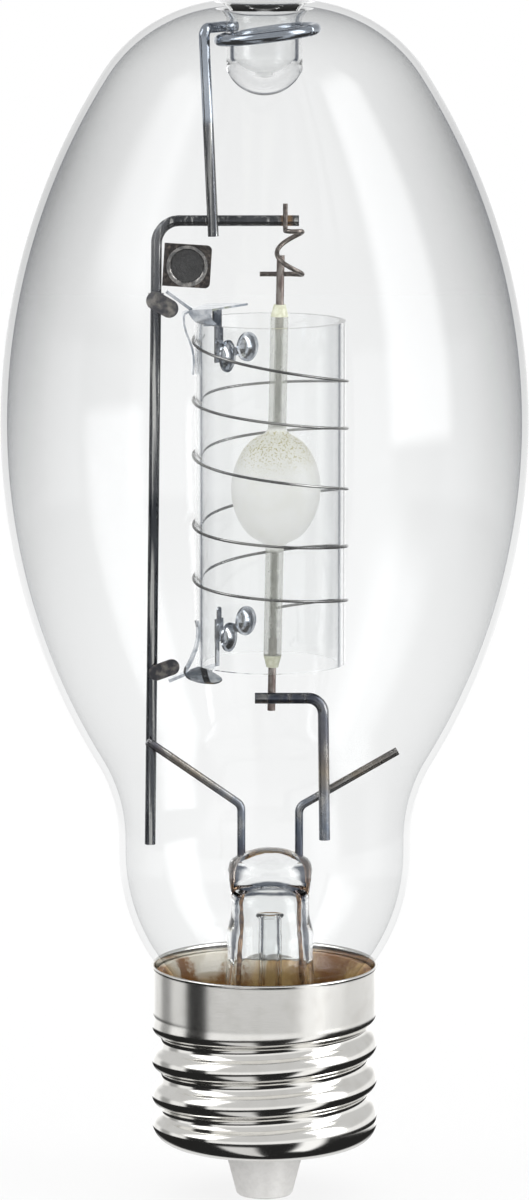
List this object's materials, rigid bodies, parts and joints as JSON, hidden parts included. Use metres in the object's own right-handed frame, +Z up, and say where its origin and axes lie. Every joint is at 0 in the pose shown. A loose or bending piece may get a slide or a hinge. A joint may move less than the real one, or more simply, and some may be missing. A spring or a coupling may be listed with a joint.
{
  "type": "high intensity discharge lamp",
  "caption": "Clear blown-glass discharge lamp with a ceramic arc tube in a quartz shroud on a bent wire frame, above a large rolled screw base with a conical end contact.",
  "frame": {"origin": "centre of the bottom face of the end contact, on the bulb axis", "axes": "+Z up the bulb axis from the end contact to the crown; -Y is the front, the side on which the lead rods cross"},
  "size_m": [0.0924, 0.0924, 0.2117],
  "materials": {
    "bulb_glass": "clear blown borosilicate glass",
    "stem_glass": "clear lead glass",
    "quartz": "clear fused quartz tube",
    "arc_ceramic": "translucent white alumina",
    "frit": "pale yellow-green sealing glass",
    "niobium": "dull grey feed wire",
    "tungsten": "dark sintered metal",
    "frame_steel": "nickel-plated steel rod, dulled by heat",
    "connector_wire": "dark nickel wire",
    "tinted_wire": "nickel wire with blue and brown heat tint",
    "seal_wire": "brown oxidised seal wire",
    "getter_plate": "dark oxidised plate",
    "getter_ring": "bright pressed ring",
    "getter_fill": "black pressed powder",
    "wrap_metal": "thin grey molybdenum wire",
    "clip_steel": "bright stainless spring sheet",
    "strap_steel": "dark heat-marked spring sheet",
    "shell_nickel": "nickel-plated brass",
    "insulator": "dark vitreous insulator",
    "contact_metal": "dull tinned metal",
    "cement": "brown baked basing cement",
    "solder": "soft solder"
  },
  "bodies": {
    "root": {"outer_bulb": "bulb_glass", "stem_flare": "stem_glass", "exhaust_tube": "stem_glass", "shroud_tube": "quartz", "arc_tube": "arc_ceramic", "upper_frit_seal": "frit", "lower_frit_seal": "frit", "upper_feedthrough": "niobium", "lower_feedthrough": "niobium", "upper_electrode": "tungsten", "lower_electrode": "tungsten", "frame_rod": "frame_steel", "dimple_support": "frame_steel", "dimple_collar": "frame_steel", "top_connector": "connector_wire", "lower_lead_rod": "tinted_wire", "left_lead_post": "tinted_wire", "right_lead_post": "tinted_wire", "left_seal_wire": "seal_wire", "right_seal_wire": "seal_wire", "contact_lead": "seal_wire", "shell_lead": "seal_wire", "getter_plate": "getter_plate", "getter_ring": "getter_ring", "getter_disc": "getter_fill", "wrap_wire": "wrap_metal", "upper_clip_strap": "strap_steel", "upper_clip": "clip_steel", "lower_clip_strap": "strap_steel", "lower_clip": "clip_steel", "screw_shell": "shell_nickel", "base_insulator": "insulator", "centre_contact": "contact_metal", "base_cement": "cement", "contact_solder": "solder", "shell_solder": "solder"}
  },
  "joints": []
}
